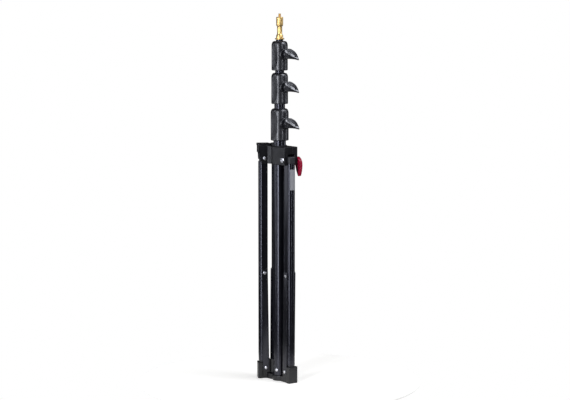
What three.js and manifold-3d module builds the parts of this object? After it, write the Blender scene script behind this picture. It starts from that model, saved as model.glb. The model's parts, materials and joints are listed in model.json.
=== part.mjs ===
// A folding lighting stand: a four-section telescopic column with a 16 mm stud on top, and three
// legs with braces that fold flat along the column.
//
// Units are millimetres. +Z is up, the origin is on the column's axis at the foot of the lower
// casting. +X is the way leg C opens, and +Y is the direction in which such stands stack.

import * as THREE from 'three';
import { mergeVertices } from 'three/addons/utils/BufferGeometryUtils.js';
import Module from 'manifold-3d';

const wasm = await Module();
wasm.setup();

// ---------------------------------------------------------------- driving dimensions

const GAP = 0.3; // running and assembly clearance between neighbouring pieces
const WALL = 1.5; // wall of every round tube

// Radii of the four column tubes, from the base tube to the last riser.
const TUBE_RADIUS = [14.5, 12.5, 10.5, 8.5];

// Heights up the column.
const CASTING_BASE_TOP = 13;
const SPIGOT_TOP = 36;
const COLUMN_RIVET_Z = 26;
const STUD_FLANGE_Z = 800;
const STUD_PIN_Z = 785;
const STUD_PIN_RADIUS = 1.5;
const STUD_SHANK_BOTTOM = 772;

// Each riser collar sits on one tube and guides the next: bottom, top, outer radius, knob axis.
const COLLARS = [
  { bottom: 566.5, top: 640.5, radius: 20.8, knobZ: 606 },
  { bottom: 651.5, top: 723, radius: 19.4, knobZ: 690.5 },
  { bottom: 729, top: 796.5, radius: 18.8, knobZ: 766 },
];
const TUBE_TOP_BELOW_KNOB = 10;
const BOSS_RADIUS = 13.5;
const BOSS_STAND_OUT = 2.2;
const SHOE_RADIUS = 4.6;
const SHOE_THICKNESS = 3.5;
const SCREW_RADIUS = 3;
const HUB_RADIUS = 8;
const HUB_HEIGHT = 8;

// Piston bushes at the lower ends of the risers: underside of each.
const BUSH_BOTTOM = [38, 60, 82];
const BUSH_FLANGE = 8;
const BUSH_SPIGOT = 12;

// Legs: each has a pivot plan position, and the heading in which it opens.
const LEGS = [
  { name: 'a', x: -44.3, y: -12.6, heading: -120 },
  { name: 'b', x: -29.5, y: 13, heading: 120 },
  { name: 'c', x: 37.6, y: 0, heading: 0 },
];
const TOP_PIN_Z = 523.5;
const MID_PIN_Z = 252.5;
const LOW_PIN_Z = 26;
const LOW_PIN_INSET = 3.3; // the brace's lower pin is this much nearer the column
const LEG_IN = -7.7; // the leg section runs from LEG_IN to LEG_OUT about its pivot
const LEG_OUT = 13.6;
const LEG_HALF_WIDTH = 10;
const LEG_CROWN = 8.2;
const LEG_WALL = 1.4;
const LEG_BOTTOM_Z = 42.5;
const LEG_TOP_Z = 515.5;
const INSERT_PLUG = 24;
const LABEL_BOTTOM = 454;
const LABEL_TOP = 502;
const LABEL_HALF_WIDTH = 7;
const LABEL_THICKNESS = 0.5;

// Braces: two flat bars to a leg.
const BAR_THICKNESS = 2;
const BAR_HALF_WIDTH = 7.5;
const BAR_TOP_REACH = 9;
const BAR_IN = LEG_HALF_WIDTH + GAP;
const BAR_OUT = BAR_IN + BAR_THICKNESS;
const BAR_LENGTH = Math.hypot(MID_PIN_Z - LOW_PIN_Z, LOW_PIN_INSET);
const BAR_LEAN = Math.atan2(LOW_PIN_INSET, MID_PIN_Z - LOW_PIN_Z);
const PIN_RADIUS = 2.6;
const HEAD_RADIUS = 4;
const HEAD_HEIGHT = 1.7;

// Feet.
const FOOT_HALF_WIDTH = 13;
const FOOT_IN = 4.8;
const FOOT_OUT = 16;
const FOOT_TOP = 38.5;
const FOOT_PLATE_IN = -2.4;
const FOOT_PLATE_Z = 34.5;
const FOOT_PLUG_TOP = 61;

// Lower casting.
const HUB_OUTER = 16.8;
const ARM_HALF_WIDTH = LEG_HALF_WIDTH;
const ARM_END_RADIUS = BAR_HALF_WIDTH;
const ARM_LENGTH = 10;
const BACK_WALL_X = -8.5; // the wall behind a folded leg
const BACK_WALL_TOP = 46;
const RIVET_HEADING = -69;

// Leg collar, the casting that slides on the base tube.
const CASTING_BOTTOM = 511;
const CASTING_TOP = 553.5;
const CASTING_HALF_WIDTH = 19.4;
const CASTING_FRONT = 43;
const SLOT_TOP = 536.5;
const SLOT_HALF_WIDTH = LEG_HALF_WIDTH + 0.4;
const SLOT_IN = -8.4;
const EAR_HALF_WIDTH = 14.5;
const EAR_IN = -12.5;
const EAR_OUT = 15.5;
const EAR_LIP = 1.2;
const EAR_TOP = 557.5;
const EAR_STEP = 2; // the ear's front steps in by this much below the slot's top
const EAR_CHAMFER = [7.5, 9]; // the bottom front corner is cut back by this, along X and Z
const WEB_HALF_WIDTH = 9;
const WEB_SHORT = 16;
const LINER_RADIUS = 16.6;
const CLAMP_PIN_RADIUS = 3;
const CLAMP_SPLIT = [3.2, 5.4];
const CLAMP_HEAD_RADIUS = 6.3;
const CLAMP_HEAD_HEIGHT = 3.4;
const LEVER_IN = CASTING_HALF_WIDTH + 0.5;
const LEVER_OUT = LEVER_IN + 8;
const LEVER_EYE_RADIUS = 6.5;

// Top inserts: the eye that closes a leg's top and takes its pin.
const INSERT_EYE_RADIUS = 7.4;
const INSERT_SHOULDER_RADIUS = 3.5;
const INSERT_SHOULDER_X = 6.9;
const INSERT_SHRINK = 0.2; // the eye is this much smaller than the leg's section all round

const SEGMENTS = 28;
const SMALL_SEGMENTS = 12;

// ---------------------------------------------------------------- materials

const FINISHES = {
  tube: { color: 0x0b0b0d, roughness: 0.35, metalness: 0.8 },
  bar: { color: 0x0e0e10, roughness: 0.45, metalness: 0.5 },
  casting: { color: 0x17171a, roughness: 0.6, metalness: 0 },
  collar: { color: 0x18181b, roughness: 0.65, metalness: 0 },
  knob: { color: 0x232327, roughness: 0.55, metalness: 0 },
  bush: { color: 0x2a2a2d, roughness: 0.7, metalness: 0 },
  steel: { color: 0xb9bbc0, roughness: 0.3, metalness: 1 },
  brass: { color: 0xc99a3c, roughness: 0.25, metalness: 1 },
  red: { color: 0xb5121f, roughness: 0.3, metalness: 0 },
  label: { color: 0x77777a, roughness: 0.6, metalness: 0 },
};

// ---------------------------------------------------------------- solids and booleans

function toSolid(geometry) {
  let plain = geometry.index ? geometry.toNonIndexed() : geometry.clone();
  plain.deleteAttribute('normal');
  plain.deleteAttribute('uv');
  plain = mergeVertices(plain, 1e-4);
  const mesh = new wasm.Mesh({
    numProp: 3,
    vertProperties: new Float32Array(plain.attributes.position.array),
    triVerts: new Uint32Array(plain.index.array),
  });
  return new wasm.Manifold(mesh);
}

function toGeometry(solid) {
  const mesh = solid.getMesh();
  const geometry = new THREE.BufferGeometry();
  geometry.setAttribute('position', new THREE.BufferAttribute(mesh.vertProperties, 3));
  geometry.setIndex(new THREE.BufferAttribute(mesh.triVerts, 1));
  geometry.computeVertexNormals();
  return geometry;
}

const join = (...geometries) => geometries.map(toSolid).reduce((sum, next) => sum.add(next));
const cut = (solid, ...geometries) => geometries.reduce((rest, next) => rest.subtract(toSolid(next)), solid);

function piece(name, finish, geometry) {
  const material = new THREE.MeshStandardMaterial(FINISHES[finish]);
  const mesh = new THREE.Mesh(geometry, material);
  mesh.name = name;
  return mesh;
}

// ---------------------------------------------------------------- basic shapes

function box(x0, x1, y0, y1, z0, z1) {
  const geometry = new THREE.BoxGeometry(x1 - x0, y1 - y0, z1 - z0);
  return geometry.translate((x0 + x1) / 2, (y0 + y1) / 2, (z0 + z1) / 2);
}

// A solid of revolution about Z, from [radius, height] corners that go up the outside.
function turned(corners, segments = SEGMENTS) {
  const profile = corners.map(([radius, height]) => new THREE.Vector2(radius, height));
  if (corners[0][0] > 0) profile.push(profile[0].clone());
  return new THREE.LatheGeometry(profile, segments).rotateX(Math.PI / 2);
}

function tube(outer, inner, z0, z1, segments = SEGMENTS) {
  return turned([[inner, z0], [outer, z0], [outer, z1], [inner, z1]], segments);
}

function disc(radius, z0, z1, segments = SEGMENTS) {
  return turned([[0, z0], [radius, z0], [radius, z1], [0, z1]], segments);
}

// The same, lying along +X or +Y at a given height.
const alongX = (geometry, z) => geometry.rotateY(Math.PI / 2).translate(0, 0, z);
const alongY = (geometry, x, z) => geometry.rotateX(-Math.PI / 2).translate(x, 0, z);

// An upright prism of a plan outline.
function upright(shape, z0, z1, curveSegments = 8) {
  const settings = { depth: z1 - z0, bevelEnabled: false, curveSegments };
  return new THREE.ExtrudeGeometry(shape, settings).translate(0, 0, z0);
}

// A slab whose outline is drawn in X and Z, and whose thickness runs along Y.
function slab(shape, y0, y1, curveSegments = 8) {
  const settings = { depth: y1 - y0, bevelEnabled: false, curveSegments };
  return new THREE.ExtrudeGeometry(shape, settings).rotateX(Math.PI / 2).translate(0, y1, 0);
}

// ---------------------------------------------------------------- column tubes and bushes

const tubeTops = COLLARS.map((collar) => collar.knobZ - TUBE_TOP_BELOW_KNOB).concat(STUD_FLANGE_Z);

function baseTube() {
  const outer = TUBE_RADIUS[0];
  const bottom = CASTING_BASE_TOP + GAP;
  const rivetHole = alongX(disc(PIN_RADIUS + GAP, 0, outer + 5, SMALL_SEGMENTS), COLUMN_RIVET_Z);
  const solid = cut(toSolid(tube(outer, outer - WALL, bottom, tubeTops[0])), towardsRivet(rivetHole));
  return piece('base_tube', 'tube', toGeometry(solid));
}

function riserTube(index) {
  const outer = TUBE_RADIUS[index];
  const bottom = BUSH_BOTTOM[index - 1] + BUSH_FLANGE + GAP;
  let solid = toSolid(tube(outer, outer - WALL, bottom, tubeTops[index]));
  if (index === 3) solid = cut(solid, studPinBody(STUD_PIN_RADIUS + GAP, outer + 2));
  return piece(`riser_tube_${index}`, 'tube', toGeometry(solid));
}

function pistonBush(index) {
  const bottom = BUSH_BOTTOM[index - 1];
  const flange = TUBE_RADIUS[index] + 0.2;
  const spigot = TUBE_RADIUS[index] - WALL - GAP;
  const top = bottom + BUSH_FLANGE;
  const geometry = turned([[0, bottom], [flange, bottom], [flange, top], [spigot, top],
    [spigot, top + BUSH_SPIGOT], [0, top + BUSH_SPIGOT]]);
  return piece(`piston_bush_${index}`, 'bush', geometry);
}

// ---------------------------------------------------------------- riser collars and knobs

// Round body with a rounded shoulder and a boss towards +X, bored in two steps.
function riserCollar(index, name) {
  const { bottom, top, radius, knobZ } = COLLARS[index];
  const outerTube = TUBE_RADIUS[index];
  const innerTube = TUBE_RADIUS[index + 1];
  const step = tubeTops[index] + GAP;
  const body = turned([[0, bottom], [radius - 0.6, bottom], [radius, bottom + 1.5], [radius, top - 9],
    [radius - 1.2, top - 4], [radius - 4, top - 0.8], [radius - 5.5, top], [0, top]]);
  const boss = alongX(disc(BOSS_RADIUS, 0, radius + BOSS_STAND_OUT, 24), knobZ);
  const solid = cut(join(body, boss),
    disc(outerTube + GAP, bottom - 1, step),
    disc(innerTube + GAP, step - 1, top + 1),
    alongX(disc(SHOE_RADIUS + GAP, 0, radius + BOSS_STAND_OUT + 1, SMALL_SEGMENTS), knobZ));
  return piece(name, 'collar', toGeometry(solid));
}

// The shoe presses on the next tube: its inner face is hollowed to the tube's curve.
function clampShoe(index, name) {
  const inner = TUBE_RADIUS[index + 1];
  const { knobZ } = COLLARS[index];
  const plug = alongX(disc(SHOE_RADIUS, inner - 3, inner + GAP + SHOE_THICKNESS, SMALL_SEGMENTS), knobZ);
  const solid = cut(toSolid(plug), disc(inner + GAP, knobZ - 9, knobZ + 9, 64));
  return piece(name, 'bush', toGeometry(solid));
}

function knobScrew(index, name) {
  const { radius, knobZ } = COLLARS[index];
  const from = TUBE_RADIUS[index + 1] + 2 * GAP + SHOE_THICKNESS;
  const to = radius + BOSS_STAND_OUT + HUB_HEIGHT - 1;
  return piece(name, 'steel', alongX(disc(SCREW_RADIUS, from, to, SMALL_SEGMENTS), knobZ));
}

// Stations of the wing, from its root to its tip. X is out from the boss, and the heights are
// about the knob's axis: the section's top, bottom, front ridge and half thickness.
const WING_STATIONS = [
  { x: 4.2, y: -6, top: 11, bottom: -9.5, ridge: 9, half: 3.2 },
  { x: 5.6, y: 1, top: 14, bottom: -10, ridge: 7, half: 4.4 },
  { x: 8.6, y: 8, top: 14, bottom: -10.2, ridge: 3, half: 4.4 },
  { x: 11.2, y: 14, top: 11, bottom: -10.8, ridge: -1, half: 4 },
  { x: 14.3, y: 20, top: 5.5, bottom: -12, ridge: -5, half: 3.2 },
  { x: 17, y: 24, top: -3, bottom: -13.4, ridge: -9, half: 2.2 },
  { x: 18.6, y: 26, top: -10.5, bottom: -13.6, ridge: -12, half: 1.2 },
];

function wing() {
  const points = WING_STATIONS.flatMap(({ x, y, top, bottom, ridge, half }) => [
    [x - half * 0.4, y, top], [x + half * 0.4, y, top],
    [x - half * 0.4, y, bottom], [x + half * 0.4, y, bottom],
    [x + half, y, ridge], [x - half, y, (top + bottom) / 2],
  ]);
  return wasm.Manifold.hull(points);
}

function wingKnob(index, name) {
  const { radius, knobZ } = COLLARS[index];
  const face = radius + BOSS_STAND_OUT + GAP;
  const hub = disc(HUB_RADIUS, 0, HUB_HEIGHT, 24).rotateY(Math.PI / 2);
  const screwHole = disc(SCREW_RADIUS + GAP, -1, HUB_HEIGHT - 1, SMALL_SEGMENTS).rotateY(Math.PI / 2);
  const solid = cut(toSolid(hub).add(wing()), screwHole);
  return piece(name, 'knob', toGeometry(solid).translate(face, 0, knobZ));
}

// ---------------------------------------------------------------- stud

function studPinBody(radius, half) {
  return alongX(disc(radius, -half, half, SMALL_SEGMENTS), STUD_PIN_Z);
}

function stud() {
  const shank = TUBE_RADIUS[3] - WALL - GAP;
  const seat = STUD_FLANGE_Z + GAP;
  const body = turned([[0, STUD_SHANK_BOTTOM], [shank, STUD_SHANK_BOTTOM], [shank, seat], [11, seat],
    [11, 803], [8, 803], [8, 810], [6, 812], [6, 830.5], [8, 832.5], [8, 851], [7, 852],
    [3.1, 852], [3.1, 859.2], [2.3, 860], [0, 860]]);
  const solid = cut(toSolid(body), studPinBody(STUD_PIN_RADIUS + GAP, 12));
  return piece('stud_16mm', 'brass', toGeometry(solid));
}

function studPin() {
  return piece('stud_pin', 'steel', studPinBody(STUD_PIN_RADIUS, TUBE_RADIUS[3] - GAP));
}

// ---------------------------------------------------------------- places on the legs

// Puts a geometry from a leg's own frame (X out, origin under the top pin) into the stand's.
function placed(geometry, leg) {
  return geometry.rotateZ(THREE.MathUtils.degToRad(leg.heading)).translate(leg.x, leg.y, 0);
}

// A piece that stays in a leg's own frame is turned by its group.
function legGroup(leg, ...pieces) {
  const group = new THREE.Group();
  group.position.set(leg.x, leg.y, 0);
  group.rotation.z = THREE.MathUtils.degToRad(leg.heading);
  group.add(...pieces);
  return group;
}

// ---------------------------------------------------------------- lower casting and its pins

// Turns a geometry made along +X to the side of the column that shows the fixing rivet.
const towardsRivet = (geometry) => geometry.rotateZ(THREE.MathUtils.degToRad(RIVET_HEADING));

// The end of an arm, between the two bars: flat below, round about the pin, with a wall behind.
function armEnd() {
  const shape = new THREE.Shape();
  const end = -LOW_PIN_INSET;
  shape.moveTo(end - ARM_LENGTH, 0);
  shape.lineTo(end + ARM_END_RADIUS, 0);
  shape.lineTo(end + ARM_END_RADIUS, LOW_PIN_Z);
  shape.absarc(end, LOW_PIN_Z, ARM_END_RADIUS, 0, Math.PI / 2, false);
  shape.lineTo(BACK_WALL_X, LOW_PIN_Z + ARM_END_RADIUS);
  shape.lineTo(BACK_WALL_X, BACK_WALL_TOP);
  shape.lineTo(end - ARM_LENGTH, BACK_WALL_TOP);
  return slab(shape, -ARM_HALF_WIDTH, ARM_HALF_WIDTH);
}

// A low web from the column's axis to the root of an arm.
function armWeb(leg) {
  const heading = THREE.MathUtils.degToRad(leg.heading);
  const inset = LOW_PIN_INSET + 6;
  const x = leg.x - inset * Math.cos(heading);
  const y = leg.y - inset * Math.sin(heading);
  const web = box(0, Math.hypot(x, y), -ARM_HALF_WIDTH, ARM_HALF_WIDTH, 0, CASTING_BASE_TOP);
  return web.rotateZ(Math.atan2(y, x));
}

function lowerCasting() {
  const spigot = TUBE_RADIUS[0] - WALL - GAP;
  const hub = turned([[0, 0], [HUB_OUTER, 0], [HUB_OUTER, CASTING_BASE_TOP - 1],
    [HUB_OUTER - 1, CASTING_BASE_TOP], [spigot, CASTING_BASE_TOP], [spigot, SPIGOT_TOP], [0, SPIGOT_TOP]]);
  const arms = LEGS.map((leg) => placed(armEnd(), leg));
  const webs = LEGS.map(armWeb);
  const pinHoles = LEGS.map((leg) => placed(
    alongY(disc(PIN_RADIUS + GAP, -20, 20, SMALL_SEGMENTS), -LOW_PIN_INSET, LOW_PIN_Z), leg));
  const rivetHole = alongX(disc(PIN_RADIUS + GAP, 5, 20, SMALL_SEGMENTS), COLUMN_RIVET_Z);
  const solid = cut(join(hub, ...arms, ...webs), ...pinHoles, towardsRivet(rivetHole));
  return piece('lower_casting', 'casting', toGeometry(solid));
}

// A rivet along its own +Z: a stem and a domed head.
function rivetBody(stemFrom, headFrom, stemRadius = PIN_RADIUS, headRadius = HEAD_RADIUS) {
  const top = headFrom + HEAD_HEIGHT;
  return turned([[0, stemFrom], [stemRadius, stemFrom], [stemRadius, headFrom], [headRadius, headFrom],
    [headRadius * 0.9, top - 0.8], [headRadius * 0.5, top], [0, top]], SMALL_SEGMENTS);
}

// A pin with a head at both ends, along its own Z.
function pinBody(half, radius = PIN_RADIUS, headRadius = HEAD_RADIUS) {
  const top = half + HEAD_HEIGHT;
  return turned([[0, -top], [headRadius * 0.5, -top], [headRadius * 0.9, 0.8 - top], [headRadius, -half],
    [radius, -half], [radius, half], [headRadius, half], [headRadius * 0.9, top - 0.8],
    [headRadius * 0.5, top], [0, top]], SMALL_SEGMENTS);
}

function columnRivet() {
  const rivet = rivetBody(9, TUBE_RADIUS[0] + GAP).rotateY(Math.PI / 2).translate(0, 0, COLUMN_RIVET_Z);
  return piece('column_rivet', 'steel', towardsRivet(rivet));
}

function lowerPin(leg) {
  const pin = alongY(pinBody(BAR_OUT + GAP), -LOW_PIN_INSET, LOW_PIN_Z);
  return legGroup(leg, piece(`lower_pin_${leg.name}`, 'steel', pin));
}

// ---------------------------------------------------------------- leg collar

// The box about a leg's top, drawn in by a step over the leg. The slot leaves an ear on each side.
function earBlock() {
  const step = SLOT_TOP - EAR_STEP;
  const [chamferX, chamferZ] = EAR_CHAMFER;
  const lowerOut = EAR_OUT - EAR_STEP;
  const shape = new THREE.Shape();
  shape.moveTo(EAR_IN, CASTING_BOTTOM);
  shape.lineTo(lowerOut - 1 - chamferX, CASTING_BOTTOM);
  shape.lineTo(lowerOut - 1, CASTING_BOTTOM + chamferZ);
  shape.lineTo(lowerOut, step);
  shape.lineTo(EAR_OUT, SLOT_TOP);
  shape.lineTo(EAR_OUT, CASTING_TOP);
  shape.lineTo(EAR_IN, CASTING_TOP);
  return slab(shape, -EAR_HALF_WIDTH, EAR_HALF_WIDTH);
}

// The lip round the top of an ear block.
function earLip() {
  const half = EAR_HALF_WIDTH + EAR_LIP;
  const shape = new THREE.Shape();
  shape.moveTo(EAR_IN, half);
  shape.lineTo(EAR_IN, -half);
  shape.lineTo(EAR_OUT - 3, -half);
  shape.quadraticCurveTo(EAR_OUT + EAR_LIP, -half, EAR_OUT + EAR_LIP, 4 - half);
  shape.lineTo(EAR_OUT + EAR_LIP, half - 4);
  shape.quadraticCurveTo(EAR_OUT + EAR_LIP, half, EAR_OUT - 3, half);
  return upright(shape, CASTING_TOP - 1, EAR_TOP, 4);
}

// Joins an ear block to the sleeve, and stops short of the head of the leg's pin.
function collarWeb(leg) {
  const reach = Math.hypot(leg.x, leg.y) - WEB_SHORT;
  const web = box(0, reach, -WEB_HALF_WIDTH, WEB_HALF_WIDTH, CASTING_BOTTOM, CASTING_TOP - 1);
  return web.rotateZ(Math.atan2(leg.y, leg.x));
}

// Room for a leg's top to swing: open below and outwards.
function legSlot() {
  return box(SLOT_IN, 30, -SLOT_HALF_WIDTH, SLOT_HALF_WIDTH, CASTING_BOTTOM - 5, SLOT_TOP);
}

function legCollarCasting() {
  const [legA, legB, legC] = LEGS;
  const sleeve = disc(CASTING_HALF_WIDTH, CASTING_BOTTOM, CASTING_TOP);
  const front = box(0, CASTING_FRONT, -CASTING_HALF_WIDTH, CASTING_HALF_WIDTH, CASTING_BOTTOM, CASTING_TOP);
  const body = join(sleeve, front, placed(earBlock(), legA), placed(earBlock(), legB),
    placed(earLip(), legA), placed(earLip(), legB), collarWeb(legA), collarWeb(legB));
  const pinHoles = [legA, legB].map((leg) => placed(
    alongY(disc(PIN_RADIUS + GAP, -25, 25, SMALL_SEGMENTS), 0, TOP_PIN_Z), leg));
  const solid = cut(body,
    disc(TUBE_RADIUS[0] + GAP, CASTING_BOTTOM - 1, CASTING_TOP + 1),
    disc(LINER_RADIUS, SLOT_TOP, CASTING_TOP + 1),
    disc(LINER_RADIUS + 2, CASTING_TOP, EAR_TOP + 1),
    ...LEGS.map((leg) => placed(legSlot(), leg)),
    box(5, CASTING_FRONT + 1, CLAMP_SPLIT[0], CLAMP_SPLIT[1], SLOT_TOP - 1, CASTING_TOP + 1),
    ...pinHoles,
    placed(alongY(disc(CLAMP_PIN_RADIUS + GAP, -25, 25, SMALL_SEGMENTS), 0, TOP_PIN_Z), legC));
  return piece('leg_collar_casting', 'casting', toGeometry(solid));
}

function collarLiner() {
  const inner = TUBE_RADIUS[0] + GAP;
  const outer = LINER_RADIUS - GAP;
  const ring = turned([[inner, SLOT_TOP + GAP], [outer, SLOT_TOP + GAP], [outer, CASTING_TOP + GAP],
    [outer + 1, CASTING_TOP + GAP], [outer + 1, CASTING_TOP + 1.5], [inner, CASTING_TOP + 1.5]]);
  const split = box(5, 30, CLAMP_SPLIT[0], CLAMP_SPLIT[1], SLOT_TOP - 1, CASTING_TOP + 3);
  return piece('collar_liner', 'bush', toGeometry(cut(toSolid(ring), split)));
}

function topPin(leg) {
  return legGroup(leg, piece(`top_pin_${leg.name}`, 'steel',
    alongY(pinBody(EAR_HALF_WIDTH + GAP), 0, TOP_PIN_Z)));
}

// The clamp screw runs through both ears and the top of leg C, into the lever's hub. Its head is
// hexagonal.
function clampScrew() {
  const [, , legC] = LEGS;
  const seat = CASTING_HALF_WIDTH + GAP;
  const head = disc(CLAMP_HEAD_RADIUS, -seat - CLAMP_HEAD_HEIGHT, -seat, 6);
  const shank = disc(CLAMP_PIN_RADIUS, -seat - 1, LEVER_OUT - 2, SMALL_SEGMENTS);
  const body = toGeometry(join(head, shank));
  return piece('clamp_screw', 'steel', alongY(body, legC.x, TOP_PIN_Z));
}

// The lever hangs from its hub with a bulge outwards, drawn in X and Z about the hub's centre.
function clampLever() {
  const [, , legC] = LEGS;
  const shape = new THREE.Shape();
  shape.moveTo(-LEVER_EYE_RADIUS, 0);
  shape.absarc(0, 0, LEVER_EYE_RADIUS, Math.PI, Math.PI * 0.25, true);
  shape.quadraticCurveTo(14, 0.5, 13.8, -14);
  shape.quadraticCurveTo(13, -26, 8.6, -37);
  shape.quadraticCurveTo(7, -40.5, 5, -37);
  shape.quadraticCurveTo(-4.5, -22, -LEVER_EYE_RADIUS, 0);
  const blank = slab(shape, LEVER_IN, LEVER_OUT, 6);
  const hole = disc(CLAMP_PIN_RADIUS + GAP, LEVER_IN - 1, LEVER_OUT - 2 + GAP, SMALL_SEGMENTS);
  hole.rotateX(-Math.PI / 2);
  const geometry = toGeometry(cut(toSolid(blank), hole));
  return piece('clamp_lever', 'red', geometry.translate(legC.x, 0, TOP_PIN_Z));
}

// ---------------------------------------------------------------- legs

// The leg's section: flat back, straight sides and an elliptical front, drawn in by a margin.
function legSection(margin, steps = 12) {
  const half = LEG_HALF_WIDTH - margin;
  const back = LEG_IN + margin;
  const shoulder = LEG_OUT - LEG_CROWN;
  const crown = LEG_CROWN - margin;
  const shape = new THREE.Shape();
  shape.moveTo(back, -half + 1.5);
  shape.lineTo(back + 1.5, -half);
  for (let step = 0; step <= steps; step += 1) {
    const turn = Math.PI * (step / steps - 0.5);
    shape.lineTo(shoulder + crown * Math.cos(turn), half * Math.sin(turn));
  }
  shape.lineTo(back + 1.5, half);
  shape.lineTo(back, half - 1.5);
  return shape;
}

function legTube(leg) {
  const section = legSection(0);
  section.holes.push(legSection(LEG_WALL));
  return piece(`leg_tube_${leg.name}`, 'tube', upright(section, LEG_BOTTOM_Z, LEG_TOP_Z));
}

// Closes the leg's top and carries the eye for the top pin.
function topInsert(leg) {
  const front = INSERT_SHOULDER_X + INSERT_SHOULDER_RADIUS;
  const shoulderZ = TOP_PIN_Z + 4;
  const halfWidth = LEG_HALF_WIDTH - INSERT_SHRINK;
  const shape = new THREE.Shape();
  shape.moveTo(-INSERT_EYE_RADIUS, LEG_TOP_Z + GAP);
  shape.lineTo(front + 0.5, LEG_TOP_Z + GAP);
  shape.lineTo(front, shoulderZ);
  shape.absarc(INSERT_SHOULDER_X, shoulderZ, INSERT_SHOULDER_RADIUS, 0, Math.PI / 2, false);
  shape.lineTo(0, shoulderZ + INSERT_SHOULDER_RADIUS);
  shape.absarc(0, TOP_PIN_Z, INSERT_EYE_RADIUS, Math.PI / 2, Math.PI, false);
  const section = upright(legSection(INSERT_SHRINK), LEG_TOP_Z, TOP_PIN_Z + 10);
  const eye = toSolid(slab(shape, -halfWidth, halfWidth)).intersect(toSolid(section));
  const plug = upright(legSection(LEG_WALL + GAP), LEG_TOP_Z - INSERT_PLUG, LEG_TOP_Z + 1);
  const radius = (leg.name === 'c' ? CLAMP_PIN_RADIUS : PIN_RADIUS) + GAP;
  const hole = alongY(disc(radius, -20, 20, SMALL_SEGMENTS), 0, TOP_PIN_Z);
  return piece(`top_insert_${leg.name}`, 'bush', toGeometry(cut(eye.add(toSolid(plug)), hole)));
}

// The foot: an outer block down to the ground, a plate over the arm's end, and a plug in the tube.
function foot(leg) {
  const outline = new THREE.Shape();
  outline.moveTo(FOOT_IN, -FOOT_HALF_WIDTH);
  outline.lineTo(FOOT_OUT - 2, -FOOT_HALF_WIDTH);
  outline.lineTo(FOOT_OUT, -FOOT_HALF_WIDTH + 2);
  outline.lineTo(FOOT_OUT, FOOT_HALF_WIDTH - 2);
  outline.lineTo(FOOT_OUT - 2, FOOT_HALF_WIDTH);
  outline.lineTo(FOOT_IN, FOOT_HALF_WIDTH);
  const block = upright(outline, 0, FOOT_TOP);
  const plateHalf = LEG_HALF_WIDTH - 0.2;
  const plate = box(FOOT_PLATE_IN, FOOT_IN + 1, -plateHalf, plateHalf, FOOT_PLATE_Z, FOOT_TOP);
  const plug = upright(legSection(LEG_WALL + GAP), FOOT_TOP - 1, FOOT_PLUG_TOP);
  const relief = box(-20, FOOT_PLATE_IN, -20, 20, FOOT_TOP - 5, LEG_BOTTOM_Z - 1);
  return piece(`foot_${leg.name}`, 'casting', toGeometry(cut(join(block, plate, plug), relief)));
}

// A spacer across the inside of the leg, where the braces' rivets turn.
function midSpacer(leg) {
  const half = LEG_HALF_WIDTH - LEG_WALL - GAP;
  const spacer = alongY(tube(4.5, PIN_RADIUS, -half, half, SMALL_SEGMENTS), 0, MID_PIN_Z);
  return piece(`mid_spacer_${leg.name}`, 'steel', spacer);
}

// A thin blank label that follows the rounded front of leg C.
function label() {
  const shoulder = LEG_OUT - LEG_CROWN;
  const front = (across) => shoulder + LEG_CROWN * Math.sqrt(1 - (across / LEG_HALF_WIDTH) ** 2) + GAP + 0.1;
  const steps = 8;
  const across = Array.from({ length: steps + 1 }, (_, i) => LABEL_HALF_WIDTH * ((2 * i) / steps - 1));
  const inner = across.map((y) => new THREE.Vector2(front(y), y));
  const outer = across.map((y) => new THREE.Vector2(front(y) + LABEL_THICKNESS, y)).reverse();
  const film = new THREE.Shape([...inner, ...outer]);
  return piece('leg_label', 'label', upright(film, LABEL_BOTTOM, LABEL_TOP));
}

// ---------------------------------------------------------------- braces

function braceBar(leg, side, name) {
  const top = BAR_LENGTH + BAR_TOP_REACH;
  const shape = new THREE.Shape();
  shape.absarc(0, 0, BAR_HALF_WIDTH, Math.PI, 2 * Math.PI, false);
  shape.lineTo(BAR_HALF_WIDTH, top - 3);
  shape.lineTo(BAR_HALF_WIDTH - 3, top);
  shape.lineTo(3 - BAR_HALF_WIDTH, top);
  shape.lineTo(-BAR_HALF_WIDTH, top - 3);
  for (const height of [0, BAR_LENGTH]) {
    const hole = new THREE.Path();
    hole.absarc(0, height, PIN_RADIUS + GAP, 0, 2 * Math.PI, true);
    shape.holes.push(hole);
  }
  const inner = side > 0 ? BAR_IN : -BAR_OUT;
  const bar = slab(shape, inner, inner + BAR_THICKNESS);
  bar.rotateY(BAR_LEAN).translate(-LOW_PIN_INSET, 0, LOW_PIN_Z);
  return piece(`${name}_${leg.name}`, 'bar', bar);
}

function midRivet(leg, side, name) {
  const rivet = rivetBody(BAR_IN + 0.1, BAR_OUT + GAP).rotateX(side > 0 ? -Math.PI / 2 : Math.PI / 2);
  return piece(`${name}_${leg.name}`, 'steel', rivet.translate(0, 0, MID_PIN_Z));
}

// ---------------------------------------------------------------- assembly

const stand = new THREE.Group();

stand.add(baseTube(), lowerCasting(), columnRivet(), ...LEGS.map(lowerPin));
for (const index of [1, 2, 3]) stand.add(riserTube(index), pistonBush(index));
['low', 'mid', 'top'].forEach((place, index) => {
  stand.add(riserCollar(index, `collar_${place}`), clampShoe(index, `clamp_shoe_${place}`));
  stand.add(knobScrew(index, `knob_screw_${place}`), wingKnob(index, `wing_knob_${place}`));
});
stand.add(stud(), studPin());
stand.add(legCollarCasting(), collarLiner(), clampScrew(), clampLever());
stand.add(topPin(LEGS[0]), topPin(LEGS[1]));
for (const leg of LEGS) {
  stand.add(legGroup(leg, legTube(leg), topInsert(leg), foot(leg), midSpacer(leg)));
  stand.add(legGroup(leg, braceBar(leg, -1, 'brace_bar_right'), braceBar(leg, 1, 'brace_bar_left')));
  stand.add(legGroup(leg, midRivet(leg, -1, 'mid_rivet_right'), midRivet(leg, 1, 'mid_rivet_left')));
}
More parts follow.
